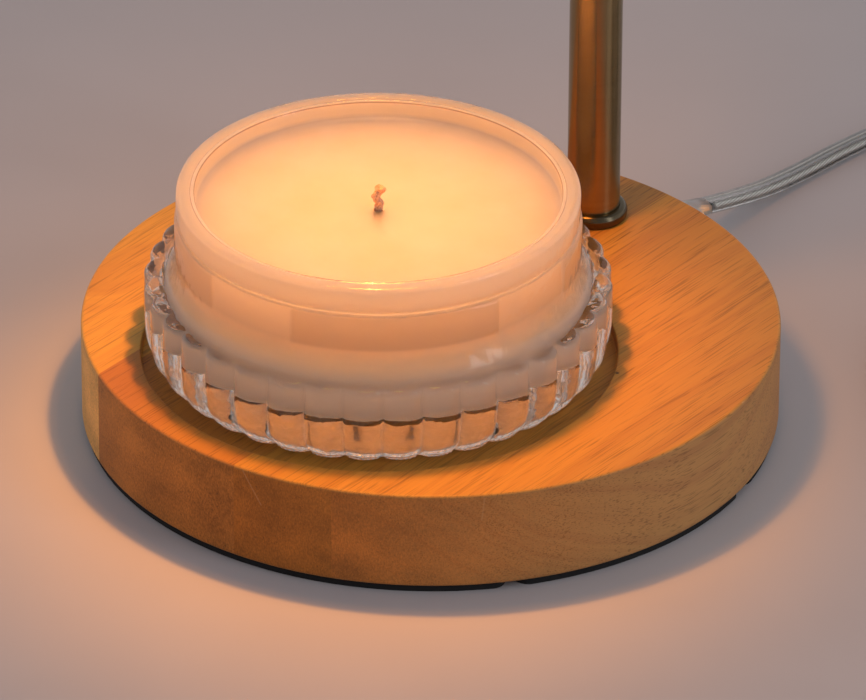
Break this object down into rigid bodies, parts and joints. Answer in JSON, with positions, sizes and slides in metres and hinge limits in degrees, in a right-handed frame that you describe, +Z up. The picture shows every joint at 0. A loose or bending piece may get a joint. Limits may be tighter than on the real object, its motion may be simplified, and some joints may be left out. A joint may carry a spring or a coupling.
{
  "type": "candle warmer lamp",
  "caption": "Candle warmer lamp: round wooden foot, telescoping brass pole with arched swinging arm, dome shade over a lift-off jar candle, in-line dimmer, coiled cord and plug.",
  "frame": {"origin": "on the table under the middle of the round foot", "axes": "+Z up, the pole stands towards +Y, the candle and the lamp head lie towards -Y, X across"},
  "size_m": [0.248, 0.3028, 0.3481],
  "materials": {
    "rubberwood": "satin lacquer",
    "foam_rubber": "matt closed-cell foam",
    "steel_plate": "black powder coat",
    "zinc_steel": "zinc plated",
    "antique_brass": "brushed antique plating",
    "white_nylon": "moulded",
    "lead_insulation": "extruded",
    "clear_pvc": "clear, glossy",
    "hook_loop": "woven tie",
    "white_abs": "fine spark texture",
    "circuit_board": "solder mask",
    "black_plastic": "moulded",
    "plated_contact": "nickel plated",
    "ceramic": "glazed",
    "reflector_glass": "facetted mirror coating",
    "lens_glass": "clear",
    "bulb_ceramic": "unglazed ceramic",
    "clear_glass": "clear pressed glass",
    "wax": "smooth, translucent",
    "cotton": "braided"
  },
  "bodies": {
    "base": {"base_disc": "rubberwood", "foot_strip_1": "foam_rubber", "foot_strip_2": "foam_rubber", "foot_strip_3": "foam_rubber", "foot_strip_4": "foam_rubber", "foot_strip_5": "foam_rubber", "ballast_plate": "steel_plate", "ballast_screws": "zinc_steel", "pole_nipple": "zinc_steel", "pole_washer": "zinc_steel", "pole_nut": "zinc_steel", "foot_ring": "antique_brass", "lower_tube": "antique_brass", "clamp_collar": "antique_brass", "lead_lower": "lead_insulation", "cord_relief": "clear_pvc", "cord_lamp": "clear_pvc", "cord_wall": "clear_pvc", "cord_tail": "clear_pvc", "cord_coil": "clear_pvc", "coil_tie": "hook_loop", "dimmer_bottom": "white_abs", "dimmer_top": "white_abs", "dimmer_board": "circuit_board", "dimmer_pot": "white_nylon", "timer_switch": "black_plastic", "dimmer_screws": "zinc_steel", "plug_body": "clear_pvc", "plug_blades": "plated_contact"},
    "thumb_screw": {"thumb_screw": "antique_brass"},
    "slider": {"guide_bush": "white_nylon"},
    "arm": {"arm_tube": "antique_brass", "arm_ferrule": "antique_brass", "head_nipple": "zinc_steel", "head_nut": "zinc_steel", "head_cup": "antique_brass", "shade": "antique_brass", "shade_ring": "antique_brass", "holder_bracket": "zinc_steel", "holder_screws": "zinc_steel", "lamp_holder": "ceramic", "lead_upper": "lead_insulation"},
    "bulb": {"bulb_reflector": "reflector_glass", "bulb_lens": "lens_glass", "bulb_capsule": "lens_glass", "bulb_base": "bulb_ceramic", "bulb_pins": "plated_contact"},
    "candle": {"candle_jar": "clear_glass", "candle_wax": "wax", "candle_wick": "cotton", "wick_tab": "zinc_steel"},
    "dial": {"dimmer_dial": "white_abs", "dimmer_spindle": "white_nylon"},
    "button": {"timer_button": "white_abs"}
  },
  "joints": [
    {"name": "height_slide", "type": "slide", "parent": "base", "child": "slider", "axis": [0, 0, 1], "range_m": [-0.07, 0.025]},
    {"name": "arm_swing", "type": "hinge", "parent": "slider", "child": "arm", "pos_m": [0, 0.0568, 0.2], "axis": [0, 0, 1], "range_deg": [-90, 90]},
    {"name": "screw_turn", "type": "hinge", "parent": "base", "child": "thumb_screw", "pos_m": [0, 0.0568, 0.155], "axis": [0, 1, 0], "range_deg": [-180, 0]},
    {"name": "bulb_twist", "type": "hinge", "parent": "arm", "child": "bulb", "pos_m": [0, -0.0142, 0.24], "axis": [0, 0, 1], "range_deg": [-25, 0]},
    {"name": "candle_lift", "type": "slide", "parent": "base", "child": "candle", "axis": [0, 0, 1], "range_m": [0, 0.06]},
    {"name": "dial_turn", "type": "hinge", "parent": "base", "child": "dial", "pos_m": [0.159, 0.115, 0.02], "axis": [0, 0, 1], "range_deg": [0, 270]},
    {"name": "timer_press", "type": "slide", "parent": "base", "child": "button", "axis": [0, 0, -1], "range_m": [0, 0.001], "stiffness_N_per_m": 300}
  ]
}
